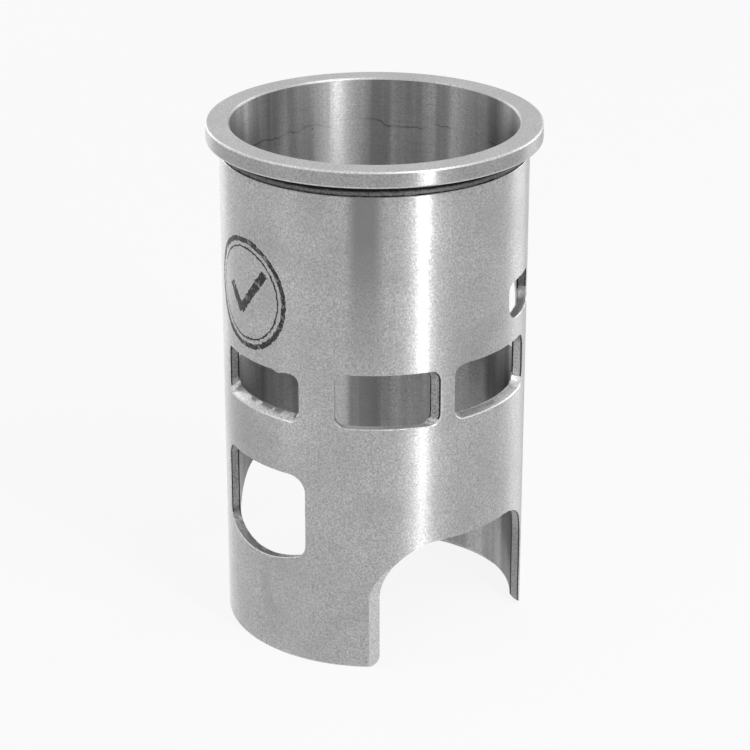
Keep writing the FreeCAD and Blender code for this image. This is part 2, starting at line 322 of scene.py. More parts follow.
def port_tool(outline, place, outer=0.3, inner=0.38, seed=0.0):
    """A closed tool that follows the outline through the wall and flares at both faces.
    Returns points in mm and faces."""
    within = BORE_R - 5.0
    beyond = 44.0
    flare_out = [(-1.9, 0.0), (-0.8, 0.1), (-0.15, 0.5), (0.9, 1.5)]
    rings = [(within, 1.0, inner), (BORE_R - 0.4, 1.0, inner)]
    rings += [(BORE_R + inner * 0.55, 0.32, inner), (BORE_R + inner, 0.0, inner)]
    rings += [(BODY_R + outer * depth, share, outer) for depth, share in flare_out]
    rings += [(beyond, 1.5, outer)]
    verts = []
    for radius, share, size in rings:
        spots = [place(p, radius) for p in outline]
        loop = [(a * radius, z) for a, z in spots]
        for (u, v), (s, z), n in zip(outline, loop, outward(loop)):
            waver = 1.0 + 0.45 * noise.noise(Vector((u * 0.55, v * 0.55, seed)))
            off = size * share * waver
            angle = (s + n[0] * off) / radius
            verts.append((radius * math.sin(angle), -radius * math.cos(angle), z + n[1] * off))
    count = len(outline)
    faces = []
    for ring in range(len(rings) - 1):
        for k in range(count):
            nxt = (k + 1) % count
            a = ring * count
            b = a + count
            faces.append((a + k, a + nxt, b + nxt, b + k))
    for ring in (0, len(rings) - 1):
        first = ring * count
        centre = [sum(verts[first + k][i] for k in range(count)) / count for i in range(3)]
        radius = math.hypot(centre[0], centre[1])
        wanted = rings[ring][0]
        verts.append((centre[0] * wanted / radius, centre[1] * wanted / radius, centre[2]))
        hub = len(verts) - 1
        for k in range(count):
            faces.append((first + k, first + (k + 1) % count, hub))
    return verts, faces


# %% [markdown]
# The tools, in three groups: those on the centre line, those of one side, which the tree
# mirrors, and a skin-deep cut. The boost port has a burr in its roof, where the cutter rode
# up, so its outline dips there.


# %% The tools on the centre line, and those of one side
def burr(outline, at, height, width, drop):
    """Lets the cutter ride up over a burr: the outline dips near one spot of its edge."""
    result = []
    for u, v in outline:
        near = math.exp(-((u - at) / width) ** 2) if abs(v - height) < 0.5 else 0.0
        result.append((u, v - drop * near))
    return result


def on_body(half_angle):
    """Half the width on the outside of a port that spans plus and minus this angle."""
    return math.radians(half_angle) * BODY_R


boost_half = on_body(BOOST_HALF_ANGLE)
boost = rounded_box(-boost_half, boost_half, BOOST_FLOOR, BOOST_ROOF, BOOST_CORNER, BOOST_CORNER)
boost = burr(boost, at=7.6, height=BOOST_ROOF, width=0.9, drop=0.55)
exhaust = rounded_box(-EXHAUST_HALF_WIDTH, EXHAUST_HALF_WIDTH, EXHAUST_FLOOR, EXHAUST_ROOF,
                      *EXHAUST_CORNERS)
rear_half = on_body(REAR_HALF_ANGLE)
rear = rounded_box(-rear_half, rear_half, REAR_FLOOR, REAR_ROOF, REAR_CORNER, REAR_CORNER)
rear_place = leaning(REAR_AZIMUTH, -rear_half, rear_half, REAR_TURN_NEAR, REAR_TURN_FAR)
front_half = on_body(FRONT_HALF_ANGLE)
front = four_corners(-front_half, front_half, FRONT_FLOOR, FRONT_ROOF,
                     (FRONT_CORNER, FRONT_LOW_FAR_CORNER, FRONT_HIGH_FAR_CORNER, FRONT_CORNER))
front_place = climbing_and_leaning(FRONT_AZIMUTH, FRONT_CLIMB, -front_half, front_half,
                                   FRONT_TURN, FRONT_ROOF, FRONT_HIGH_FAR_CORNER, FRONT_SHARPEST)
aux = rounded_box(-AUX_HALF_WIDTH, AUX_HALF_WIDTH, AUX_FLOOR, AUX_ROOF, *AUX_CORNERS)

centre_tools = [
    port_tool(boost, climbing(0.0, BOOST_CLIMB), seed=1.3),
    port_tool(exhaust, straight(180.0), seed=2.1),
    port_tool(intake_outline(), straight(0.0), outer=0.26, seed=3.7),
]
side_tools = [
    port_tool(rear, rear_place, seed=4.2),
    port_tool(front, front_place, seed=5.9),
    port_tool(aux, straight(AUX_AZIMUTH), seed=6.4),
    port_tool(skirt_outline(), straight(90.0), inner=0.3, seed=7.7),
]
print(len(centre_tools), "tools on the centre line,", len(side_tools), "on each side")


# %% The skin-deep cut
def skin_cut():
    """A skin-deep pass beside the arch on the intake leg, where the cutter first touched.
    It goes up the leg, then round the arch's corner, and narrows to nothing there."""
    depth = 0.2
    edge = ARCH_INTAKE_SIDE
    start = -23.9
    overlap = 0.8
    clear = 1.5
    spent = 45.0
    below_feet = -4.0
    corner_low = 18.2
    path = [(below_feet + (corner_low - below_feet) * i / 26, 0.0) for i in range(27)]
    path += [(corner_low, spent * i / 20) for i in range(1, 20)]
    verts = []
    for z, turn in path:
        c = math.cos(math.radians(turn))
        s = math.sin(math.radians(turn))
        wide = (start - edge) * (1.0 - turn / spent)
        edge_u = edge + ARCH_CORNER * (1 - c)
        edge_v = z + ARCH_CORNER * s
        outer_point = (edge_u + wide * c, edge_v - wide * s)
        inner_point = (edge_u + overlap * c, edge_v - overlap * s)
        floor_r = BODY_R - depth * (1.0 - 0.8 * turn / spent)
        for (u, v), radius in (
            (outer_point, floor_r),
            (inner_point, floor_r),
            (inner_point, BODY_R + clear),
            (outer_point, BODY_R + clear),
        ):
            angle = math.pi / 2 + math.asin(u / radius)
            verts.append((radius * math.sin(angle), -radius * math.cos(angle), v))
    faces = [(0, 1, 2, 3)]
    for i in range(len(path) - 1):
        a = 4 * i
        for k in range(4):
            nxt = (k + 1) % 4
            faces.append((a + k, a + nxt, a + 4 + nxt, a + 4 + k))
    last = 4 * (len(path) - 1)
    faces.append((last, last + 1, last + 2, last + 3))
    return verts, faces


# %% Tools as objects
def tool_object(name, tools):
    """Joins tools into one object, every shell turned with its faces outwards."""
    bm = bmesh.new()
    for verts, faces in tools:
        made = [bm.verts.new([c * MM for c in v]) for v in verts]
        for face in faces:
            bm.faces.new([made[i] for i in face])
    bmesh.ops.recalc_face_normals(bm, faces=bm.faces)
    mesh = bpy.data.meshes.new(name)
    bm.to_mesh(mesh)
    volume = bm.calc_volume()
    bm.free()
    thing = bpy.data.objects.new(name, mesh)
    bpy.context.scene.collection.objects.link(thing)
    print(name, len(mesh.polygons), "faces,", round(volume * 1e9), "mm3")
    return thing


centre_object = tool_object("centre_tools", centre_tools)
side_object = tool_object("side_tools", side_tools)
skin_object = tool_object("skin_tools", [skin_cut()])

# %% [markdown]
# The tree. It turns the section with a grid whose columns are steps round the axis, closes
# it, mirrors the side tools in the YZ plane, and cuts everything out with the exact solver.
# The exact solver is slower than the other but keeps the wall's facets where they are.


# %% The Geometry Nodes tree of the sleeve
def sleeve_tree():
    tree = bpy.data.node_groups.new("turned_and_ported_sleeve", "GeometryNodeTree")
    face = tree.interface
    face.new_socket("Section", in_out="INPUT", socket_type="NodeSocketGeometry")
    face.new_socket("Steps Round", in_out="INPUT", socket_type="NodeSocketInt")
    face.new_socket("Centre Tools", in_out="INPUT", socket_type="NodeSocketObject")
    face.new_socket("Side Tools", in_out="INPUT", socket_type="NodeSocketObject")
    face.new_socket("Skin Tools", in_out="INPUT", socket_type="NodeSocketObject")
    face.new_socket("Material", in_out="INPUT", socket_type="NodeSocketMaterial")
    face.new_socket("Sleeve", in_out="OUTPUT", socket_type="NodeSocketGeometry")
    given = add(tree, "NodeGroupInput").outputs

    size = add(tree, "GeometryNodeAttributeDomainSize", {"Geometry": given["Section"]})
    count = size.outputs["Point Count"]
    rows = add(tree, "ShaderNodeMath", {0: count, 1: 1.0}, operation="ADD").outputs[0]
    columns = add(tree, "ShaderNodeMath", {0: given["Steps Round"], 1: 1.0},
                  operation="ADD").outputs[0]
    grid = add(tree, "GeometryNodeMeshGrid",
               {"Size X": 1.0, "Size Y": 1.0, "Vertices X": columns, "Vertices Y": rows})
    index = add(tree, "GeometryNodeInputIndex").outputs[0]
    share = add(tree, "ShaderNodeMath", {0: index, 1: rows}, operation="DIVIDE").outputs[0]
    column = add(tree, "ShaderNodeMath", {0: share}, operation="FLOOR").outputs[0]
    row = add(tree, "ShaderNodeMath", {0: index, 1: rows}, operation="MODULO").outputs[0]
    wrapped = add(tree, "ShaderNodeMath", {0: row, 1: count}, operation="MODULO").outputs[0]
    place = add(tree, "GeometryNodeInputPosition").outputs[0]
    point = add(tree, "GeometryNodeSampleIndex",
                {"Geometry": given["Section"], "Index": wrapped}, data_type="FLOAT_VECTOR")
    tree.links.new(place, point.inputs["Value"])
    turn = add(tree, "ShaderNodeMath", {0: column, 1: given["Steps Round"]}, operation="DIVIDE")
    angle = add(tree, "ShaderNodeMath", {0: turn.outputs[0], 1: math.tau}, operation="MULTIPLY")
    spun = add(tree, "ShaderNodeVectorRotate",
               {"Vector": point.outputs["Value"], "Angle": angle.outputs[0]},
               rotation_type="Z_AXIS")
    moved = add(tree, "GeometryNodeSetPosition",
                {"Geometry": grid.outputs["Mesh"], "Position": spun.outputs[0]})
    closed = add(tree, "GeometryNodeMergeByDistance",
                 {"Geometry": moved.outputs[0], "Distance": 1e-6})
    blank = add(tree, "GeometryNodeFlipFaces", {"Mesh": closed.outputs[0]})

    tools = []
    for name, mirrored in (("Centre Tools", False), ("Side Tools", True), ("Skin Tools", True)):
        shape = add(tree, "GeometryNodeObjectInfo", {"Object": given[name]}).outputs["Geometry"]
        tools.append((name, shape))
        if mirrored:
            other = add(tree, "GeometryNodeTransform", {"Geometry": shape, "Scale": (-1, 1, 1)})
            turned = add(tree, "GeometryNodeFlipFaces", {"Mesh": other.outputs[0]})
            tools.append((name, turned.outputs[0]))
    cut = blank.outputs[0]
    for kind in (("Centre Tools", "Side Tools"), ("Skin Tools",)):
        step = add(tree, "GeometryNodeMeshBoolean", {"Mesh 1": cut},
                   operation="DIFFERENCE", solver="EXACT")
        for name, shape in tools:
            if name in kind:
                tree.links.new(shape, step.inputs["Mesh 2"])
        cut = step.outputs["Mesh"]
    smooth = add(tree, "GeometryNodeSetShadeSmooth", {"Geometry": cut, "Shade Smooth": True})
    real = add(tree, "GeometryNodeRealizeInstances", {"Geometry": smooth.outputs[0]})
    finished = add(tree, "GeometryNodeSetMaterial",
                   {"Geometry": real.outputs[0], "Material": given["Material"]})
    add(tree, "NodeGroupOutput", {"Sleeve": finished.outputs[0]})
    return tree


tree = sleeve_tree()
print("tree of", len(tree.nodes), "nodes")

# %% [markdown]
# Materials. All of it is one grey iron, spun cast, so the finishes differ in how each face
# was cut, and some also in painted light and shade. Iron is fully metallic and keeps the
# default IOR. Its graphite makes it greyer than steel and leaves a fine mottle in every cut
# face. The flakes are about 0.1 mm long. They are drawn 0.4 mm coarse, because smaller ones
# wouldn't show.


# %% Colour from a hex value
def colour(text):
    """sRGB hex to the linear colour that a shader works in."""
    channels = []
    for i in (0, 2, 4):
        c = int(text[i:i + 2], 16) / 255
        channels.append(c / 12.92 if c <= 0.04045 else ((c + 0.055) / 1.055) ** 2.4)
    return (*channels, 1.0)


# %% The iron under every finish
def bare_iron(name, light, dark):
    """A new iron: its material, tree, shader, place in mm, mottle from 0 to 1, and colour."""
    material = bpy.data.materials.new(name)
    material.use_nodes = True
    nodes = material.node_tree
    nodes.nodes.clear()
    surface = add(nodes, "ShaderNodeBsdfPrincipled", {"Metallic": 1.0})
    add(nodes, "ShaderNodeOutputMaterial", {"Surface": surface.outputs[0]})
    spot = add(nodes, "ShaderNodeTexCoord").outputs["Object"]
    mm = add(nodes, "ShaderNodeMapping", {"Vector": spot, "Scale": (1000, 1000, 1000)}).outputs[0]
    flakes = add(nodes, "ShaderNodeTexNoise",
                 {"Vector": mm, "Scale": 2.4, "Detail": 2.0, "Roughness": 0.6}).outputs[0]
    mottle = add(nodes, "ShaderNodeMapRange", {"Value": flakes, 1: 0.34, 2: 0.66}).outputs[0]
    cloud = add(nodes, "ShaderNodeTexNoise",
                {"Vector": mm, "Scale": 0.08, "Detail": 2.0, "Roughness": 0.5}).outputs[0]
    veil = add(nodes, "ShaderNodeMapRange", {"Value": cloud, 1: 0.35, 2: 0.7, 4: 0.4}).outputs[0]
    tone = add(nodes, "ShaderNodeMix", {0: mottle, 6: colour(dark), 7: colour(light)},
               data_type="RGBA").outputs[2]
    clouded = add(nodes, "ShaderNodeMix", {0: veil, 6: tone, 7: colour(dark)},
                  data_type="RGBA").outputs[2]
    nodes.links.new(clouded, surface.inputs["Base Color"])
    return material, nodes, surface, mm, mottle, clouded


def spread_gloss(nodes, surface, mottle, roughness, pull):
    """Spreads reflections along the bore axis, across tool marks that run round it."""
    rough = add(nodes, "ShaderNodeMapRange",
                {"Value": mottle, 3: roughness + 0.03, 4: roughness - 0.03}).outputs[0]
    nodes.links.new(rough, surface.inputs["Roughness"])
    round_axis = add(nodes, "ShaderNodeTangent", direction_type="RADIAL", axis="Z").outputs[0]
    nodes.links.new(round_axis, surface.inputs["Tangent"])
    surface.inputs["Anisotropic"].default_value = pull
    surface.inputs["Anisotropic Rotation"].default_value = 0.25


def rings_round(nodes, mm, along, up, detail=3.0):
    """Noise drawn out round the sleeve: features per mm along a ring, and up the wall."""
    drawn = add(nodes, "ShaderNodeMapping", {"Vector": mm, "Scale": (along, along, up)}).outputs[0]
    return add(nodes, "ShaderNodeTexNoise",
               {"Vector": drawn, "Scale": 1.0, "Detail": detail, "Roughness": 0.6}).outputs[0]


# %% [markdown]
# An ink stamp sits on the intake side. It is a rubber stamp pressed on the finished sleeve
# by an inspector: two rings and a tick, broken up where the ink missed the grain. It could
# be a decal on a thin sheet, but ink has no thickness, so it is a mask in the shader. The
# mask works on the sleeve rolled flat: round the wall by azimuth, and up it by height.


# %% The wall rolled flat
def unrolled(nodes, mm):
    """Azimuth from the intake side in radians, and height in mm."""
    axes = add(nodes, "ShaderNodeSeparateXYZ", {0: mm}).outputs
    toward = add(nodes, "ShaderNodeMath", {0: axes[1], 1: -1.0}, operation="MULTIPLY").outputs[0]
    azimuth = add(nodes, "ShaderNodeMath", {0: axes[0], 1: toward}, operation="ARCTAN2").outputs[0]
    return azimuth, axes[2]


# %% The inspector's stamp
STAMP_AZIMUTH = -5.0
STAMP_HEIGHT = 88.0
STAMP_RINGS = ((12.6, 0.62), (10.9, 0.22))
TICK = (((-3.9, -1.9), -51.0, 3.7), ((2.6, 0.9), 50.5, 7.0))
TICK_HALF_WIDTH = 1.05


def stamp_mask(nodes, azimuth, height, mottle):
    """1 where there is ink."""
    turned = add(nodes, "ShaderNodeMath", {0: azimuth, 1: math.radians(STAMP_AZIMUTH)},
                 operation="SUBTRACT").outputs[0]
    across = add(nodes, "ShaderNodeMath", {0: turned, 1: BODY_R}, operation="MULTIPLY").outputs[0]
    up = add(nodes, "ShaderNodeMath", {0: height, 1: STAMP_HEIGHT}, operation="SUBTRACT").outputs[0]
    flat = add(nodes, "ShaderNodeCombineXYZ", {0: across, 1: up}).outputs[0]
    waver = add(nodes, "ShaderNodeTexNoise", {"Vector": flat, "Scale": 0.9, "Detail": 3.0}).outputs[1]
    shift = add(nodes, "ShaderNodeVectorMath", {0: waver, 1: (0.5, 0.5, 0.5)},
                operation="SUBTRACT").outputs[0]
    small = add(nodes, "ShaderNodeVectorMath", {0: shift, 3: 0.9}, operation="SCALE").outputs[0]
    place = add(nodes, "ShaderNodeVectorMath", {0: flat, 1: small}, operation="ADD").outputs[0]
    level = add(nodes, "ShaderNodeVectorMath", {0: place, 1: (1, 1, 0)},
                operation="MULTIPLY").outputs[0]
    out = add(nodes, "ShaderNodeVectorMath", {0: level}, operation="LENGTH").outputs["Value"]
    mask = None
    for radius, half in STAMP_RINGS:
        shape = add(nodes, "ShaderNodeMath", {0: out, 1: radius, 2: half},
                    operation="COMPARE").outputs[0]
        if mask:
            shape = add(nodes, "ShaderNodeMath", {0: mask, 1: shape}, operation="MAXIMUM").outputs[0]
        mask = shape
    for centre, lean, half in TICK:
        box = add(nodes, "ShaderNodeMapping",
                  {"Vector": level, "Location": (*centre, 0), "Rotation": (0, 0, math.radians(lean)),
                   "Scale": (half, TICK_HALF_WIDTH, 1)}, vector_type="TEXTURE").outputs[0]
        size = add(nodes, "ShaderNodeVectorMath", {0: box}, operation="ABSOLUTE").outputs[0]
        sides = add(nodes, "ShaderNodeSeparateXYZ", {0: size}).outputs
        most = add(nodes, "ShaderNodeMath", {0: sides[0], 1: sides[1]}, operation="MAXIMUM").outputs[0]
        bar = add(nodes, "ShaderNodeMath", {0: most, 1: 1.0}, operation="LESS_THAN").outputs[0]
        mask = add(nodes, "ShaderNodeMath", {0: mask, 1: bar}, operation="MAXIMUM").outputs[0]
    patchy = add(nodes, "ShaderNodeTexNoise", {"Vector": flat, "Scale": 0.45, "Detail": 4.0}).outputs[0]
    pressed = add(nodes, "ShaderNodeMapRange", {"Value": patchy, 1: 0.66, 2: 0.55, 3: 0.45}).outputs[0]
    grain = add(nodes, "ShaderNodeMapRange", {"Value": mottle, 1: 1.0, 2: 0.75, 3: 0.7}).outputs[0]
    worn = add(nodes, "ShaderNodeMath", {0: pressed, 1: grain}, operation="MULTIPLY").outputs[0]
    return add(nodes, "ShaderNodeMath", {0: mask, 1: worn}, operation="MULTIPLY").outputs[0]


# %% [markdown]
# The outside was turned and then polished with a fine belt while it span. The marks run
# round the sleeve about 0.1 mm apart, too fine to show. They are drawn as a gloss that is
# sharp round the sleeve and spread up and down it, which draws a lamp out into an upright
# streak. A bump of 0.8 mm rings, each a little off true, gives the streak its ragged edge.
# A darker upright band is painted down the front from the groove. It is a painted dark
# reflection, not a mark on the metal. It is full within 2.5 degrees of its middle, and fades out above
# the ports.


# %% Turned and belt-polished outside
SHADE_BAND_AZIMUTH = 46.5
SHADE_BAND_FULL = 2.5
SHADE_BAND_GONE = 8.5
SHADE_BAND_LOW = 70.0
SHADE_BAND_HIGH = 106.0


def outside_iron():
    material, nodes, surface, mm, mottle, tone = bare_iron(
        "belt_polished_grey_iron", "cdcdcd", "a2a2a2")
    spread_gloss(nodes, surface, mottle, 0.39, 1.0)
    smudge = add(nodes, "ShaderNodeTexNoise",
                 {"Vector": mm, "Scale": 0.035, "Detail": 4.0, "Distortion": 0.6}).outputs[0]
    handled = add(nodes, "ShaderNodeMapRange", {"Value": smudge, 1: 0.56, 2: 0.68, 4: 0.35}).outputs[0]
    dulled = add(nodes, "ShaderNodeMix", {0: handled, 6: tone, 7: colour("979797")},
                 data_type="RGBA").outputs[2]
    azimuth, height = unrolled(nodes, mm)
    # Painted dark reflection: an upright band darker than the metal round it, down the front.
    off = add(nodes, "ShaderNodeMath", {0: azimuth, 1: math.radians(SHADE_BAND_AZIMUTH)},
              operation="SUBTRACT").outputs[0]
    aside = add(nodes, "ShaderNodeMath", {0: off}, operation="ABSOLUTE").outputs[0]
    across = add(nodes, "ShaderNodeMapRange",
                 {"Value": aside, 1: math.radians(SHADE_BAND_GONE), 2: math.radians(SHADE_BAND_FULL)},
                 interpolation_type="SMOOTHSTEP").outputs[0]
    down = add(nodes, "ShaderNodeMapRange", {"Value": height, 1: SHADE_BAND_LOW, 2: SHADE_BAND_HIGH}).outputs[0]
    painted_shade_band = add(nodes, "ShaderNodeMath", {0: across, 1: down}, operation="MULTIPLY").outputs[0]
    shade_banded = add(nodes, "ShaderNodeMix", {0: painted_shade_band, 6: dulled, 7: colour("8a8a8a")},
                data_type="RGBA").outputs[2]
    ink = stamp_mask(nodes, azimuth, height, mottle)
    inked = add(nodes, "ShaderNodeMix", {0: ink, 6: shade_banded, 7: colour("141415")},
                data_type="RGBA").outputs[2]
    nodes.links.new(inked, surface.inputs["Base Color"])
    metal = add(nodes, "ShaderNodeMapRange", {"Value": ink, 3: 1.0, 4: 0.15}).outputs[0]
    nodes.links.new(metal, surface.inputs["Metallic"])
    rings = rings_round(nodes, mm, 0.36, 1.3)
    ragged = add(nodes, "ShaderNodeBump",
                 {"Height": rings, "Strength": 1.0, "Distance": 0.045 * MM}).outputs[0]
    grained = add(nodes, "ShaderNodeBump",
                  {"Height": mottle, "Strength": 1.0, "Distance": 0.006 * MM,
                   "Normal": ragged}).outputs[0]
    nodes.links.new(grained, surface.inputs["Normal"])
    return material


BODY = outside_iron()
print(BODY.name, len(BODY.node_tree.nodes), "nodes")

# %% [markdown]
# The flange was turned last, and nothing polished it, so its rim is a touch darker than the
# body. The deck and the seat under the flange were faced. Their marks are rings that lie
# flat, and they take the light of the whole sky evenly. One function makes both finishes.


# %% Faced flange
def flange_iron(name, light, dark, roughness, pull):
    material, nodes, surface, mm, mottle, _ = bare_iron(name, light, dark)
    spread_gloss(nodes, surface, mottle, roughness, pull)
    rings = rings_round(nodes, mm, 0.3, 1.6)
    ragged = add(nodes, "ShaderNodeBump",
                 {"Height": rings, "Strength": 1.0, "Distance": 0.02 * MM}).outputs[0]
    grained = add(nodes, "ShaderNodeBump",
                  {"Height": mottle, "Strength": 1.0, "Distance": 0.006 * MM,
                   "Normal": ragged}).outputs[0]
    nodes.links.new(grained, surface.inputs["Normal"])
    return material


RIM = flange_iron("turned_flange_rim_iron", "b2b2b2", "929292", 0.35, 1.0)
DECK = flange_iron("faced_deck_iron", "c3c3c3", "a5a5a5", 0.46, 0.35)
print(RIM.name, DECK.name)

# %% [markdown]
# The bore was honed, and is the smoothest face. It mostly sees itself, so it looks darker
# than the outside though its colour is the same. Upright darker bands are painted on it, a
# painted reflection of dark streaks. Fine scratches run round it, and one wavy line and a few
# freckles of dried coolant are left. The bands are noise on stretched coordinates. The line is
# a narrow slice of height that noise pushes up and down, and a second noise breaks it.


# %% Honed bore
TIDE_HEIGHT = 111.0


def bore_iron():
    material, nodes, surface, mm, mottle, tone = bare_iron("honed_bore_iron", "cccccc", "a9a9a9")
    spread_gloss(nodes, surface, mottle, 0.42, 1.0)
    upright = add(nodes, "ShaderNodeMapping", {"Vector": mm, "Scale": (0.16, 0.16, 0.006)}).outputs[0]
    # Painted reflection: upright bands darkened like the dark streaks a turned bore reflects.
    upright_noise = add(nodes, "ShaderNodeTexNoise",
                {"Vector": upright, "Scale": 1.0, "Detail": 3.0, "Roughness": 0.5}).outputs[0]
    painted_dark_streaks = add(nodes, "ShaderNodeMapRange", {"Value": upright_noise, 1: 0.42, 2: 0.62, 4: 0.75}).outputs[0]
    shaded = add(nodes, "ShaderNodeMix", {0: painted_dark_streaks, 6: tone, 7: colour("7c7c7b")},
                 data_type="RGBA").outputs[2]
    scratches = rings_round(nodes, mm, 0.1, 4.5, 4.0)
    scored = add(nodes, "ShaderNodeMapRange", {"Value": scratches, 1: 0.55, 2: 0.7, 4: 0.3}).outputs[0]
    scratched = add(nodes, "ShaderNodeMix", {0: scored, 6: shaded, 7: colour("6e6d6b")},
                    data_type="RGBA").outputs[2]
    height = add(nodes, "ShaderNodeSeparateXYZ", {0: mm}).outputs[2]
    wander = add(nodes, "ShaderNodeTexNoise",
                 {"Vector": mm, "Scale": 0.09, "Detail": 3.0, "Roughness": 0.5}).outputs[0]
    level = add(nodes, "ShaderNodeMath", {0: wander, 1: 10.0, 2: height},
                operation="MULTIPLY_ADD").outputs[0]
    line = add(nodes, "ShaderNodeMath", {0: level, 1: TIDE_HEIGHT + 5.0, 2: 0.2},
               operation="COMPARE").outputs[0]
    broken = add(nodes, "ShaderNodeMapRange", {"Value": upright_noise, 1: 0.4, 2: 0.6, 4: 0.5}).outputs[0]
    tide = add(nodes, "ShaderNodeMath", {0: line, 1: broken}, operation="MULTIPLY").outputs[0]
    freckle = add(nodes, "ShaderNodeTexNoise",
                  {"Vector": mm, "Scale": 1.1, "Detail": 1.0, "Roughness": 0.4}).outputs[0]
    freckled = add(nodes, "ShaderNodeMapRange", {"Value": freckle, 1: 0.74, 2: 0.82, 4: 0.5}).outputs[0]
    dirt = add(nodes, "ShaderNodeMath", {0: tide, 1: freckled}, operation="MAXIMUM").outputs[0]
    stained = add(nodes, "ShaderNodeMix", {0: dirt, 6: scratched, 7: colour("4f4a44")},
                  data_type="RGBA").outputs[2]
    nodes.links.new(stained, surface.inputs["Base Color"])
    rings = rings_round(nodes, mm, 0.4, 2.2)
    ragged = add(nodes, "ShaderNodeBump",
                 {"Height": rings, "Strength": 1.0, "Distance": 0.03 * MM}).outputs[0]
    scored_in = add(nodes, "ShaderNodeBump",
                    {"Height": scratches, "Strength": 1.0, "Distance": 0.008 * MM,
                     "Normal": ragged}).outputs[0]
    nodes.links.new(scored_in, surface.inputs["Normal"])
    return material


BORE = bore_iron()
print(BORE.name, len(BORE.node_tree.nodes), "nodes")

# %% [markdown]
# The relief under the flange was plunged with a narrow tool and never polished, so it is
# dull. Its darker grey is partly that dull cut and partly painted shade of the recess. Black
# painted shade fills its upper half, under the flange, and its lower corner. The mask
# for that goes by height, made uneven by the same rings as the bump.


# %% Plunged relief groove
def groove_iron():
    # The darker grey is partly the dull cut and partly painted shade of the recess.
    material, nodes, surface, mm, mottle, tone = bare_iron("plunged_groove_iron", "868686", "5c5c5c")
    spread_gloss(nodes, surface, mottle, 0.58, 0.5)
    height = add(nodes, "ShaderNodeSeparateXYZ", {0: mm}).outputs[2]
    rings = rings_round(nodes, mm, 0.5, 2.2)
    uneven = add(nodes, "ShaderNodeMath", {0: rings, 1: 0.7, 2: height},
                 operation="MULTIPLY_ADD").outputs[0]
    # Painted shade: black under the flange, and in the relief's lower corner.
    upper = add(nodes, "ShaderNodeMapRange",
                {"Value": uneven, 1: SEAT - 1.75, 2: SEAT - 1.25}).outputs[0]
    lower = add(nodes, "ShaderNodeMapRange",
                {"Value": uneven, 1: SEAT - RELIEF_W + 0.6, 2: SEAT - RELIEF_W + 0.4}).outputs[0]
    painted_shade = add(nodes, "ShaderNodeMath", {0: upper, 1: lower}, operation="MAXIMUM").outputs[0]
    dark = add(nodes, "ShaderNodeMix", {0: painted_shade, 6: tone, 7: colour("202020")},
               data_type="RGBA").outputs[2]
    nodes.links.new(dark, surface.inputs["Base Color"])
    ridged = add(nodes, "ShaderNodeBump",
                 {"Height": rings, "Strength": 1.0, "Distance": 0.03 * MM}).outputs[0]
    nodes.links.new(ridged, surface.inputs["Normal"])
    return material


GROOVE = groove_iron()
print(GROOVE.name, len(GROOVE.node_tree.nodes), "nodes")

# %% [markdown]
# The port walls were milled with an end mill that stood across the wall. Its flutes leave
# short bright facets, about 0.5 mm apart and drawn 0.9 mm, and no direction of gloss. The
# faces that look up are painted lighter, as lit floors, and the sides and roofs darker, as
# shaded ones: painted light and shade. Edges were broken by hand with a small stone. The
# outside line is brighter, partly fresh metal and partly painted highlight. A dark line of
# painted shade lies beneath it on the sides and roofs, and along the bore.


# %% Milled port walls and broken edges
def milled_iron(name, light, dark, roughness, facet):
    material, nodes, surface, mm, mottle, _ = bare_iron(name, light, dark)
    rough = add(nodes, "ShaderNodeMapRange",
                {"Value": mottle, 3: roughness + 0.05, 4: roughness - 0.05}).outputs[0]
    nodes.links.new(rough, surface.inputs["Roughness"])
    flutes = add(nodes, "ShaderNodeTexNoise",
                 {"Vector": mm, "Scale": 1.1, "Detail": 3.0, "Roughness": 0.55}).outputs[0]
    cut = add(nodes, "ShaderNodeBump",
              {"Height": flutes, "Strength": 1.0, "Distance": facet * MM}).outputs[0]
    grained = add(nodes, "ShaderNodeBump",
                  {"Height": mottle, "Strength": 1.0, "Distance": 0.008 * MM,
                   "Normal": cut}).outputs[0]
    nodes.links.new(grained, surface.inputs["Normal"])
    return material


# Painted light and shade: a lighter copy for faces that look up, a darker one for the rest.
FLOOR = milled_iron("painted_light_port_floor_iron", "d8d8d8", "a8a8a8", 0.36, 0.05)
SIDE = milled_iron("painted_shade_port_side_iron", "b0b0b0", "7c7c7c", 0.42, 0.07)
# Partly fresh metal and partly painted highlight: a brighter line on the outside edges.
EDGE = milled_iron("broken_edge_and_painted_highlight_iron", "dcdcdc", "b4b4b4", 0.38, 0.03)
# Painted shade: a dark line along the edges of sides and roofs, outside and at the bore.
EDGE_SHADE = milled_iron("painted_edge_shade_iron", "4c4c4c", "2c2c2c", 0.55, 0.03)
SHEET = [BODY, RIM, DECK, BORE, GROOVE, SIDE, EDGE, FLOOR, EDGE_SHADE]
print(len(SHEET), "finishes")

# %% [markdown]
# Now the sleeve itself: the tree runs once, and its result is made a plain mesh. Where the
# rim of a tool grazes a facet, the exact solver leaves slivers a few thousandths of a
# millimetre high. They would shade as dark lines, so they are dissolved.


# %% Running the tree
def run_tree(steps):
    modifier = section_object.modifiers.new("sleeve", "NODES")
    modifier.node_group = tree
    wanted = {
        "Steps Round": steps,
        "Centre Tools": centre_object,
        "Side Tools": side_object,
        "Skin Tools": skin_object,
        "Material": BODY,
    }
    for item in tree.interface.items_tree:
        if item.item_type == "SOCKET" and item.in_out == "INPUT" and item.name in wanted:
            modifier[item.identifier] = wanted[item.name]
    graph = bpy.context.evaluated_depsgraph_get()
    graph.update()
    mesh = bpy.data.meshes.new_from_object(section_object.evaluated_get(graph))
    section_object.modifiers.remove(modifier)
    return mesh


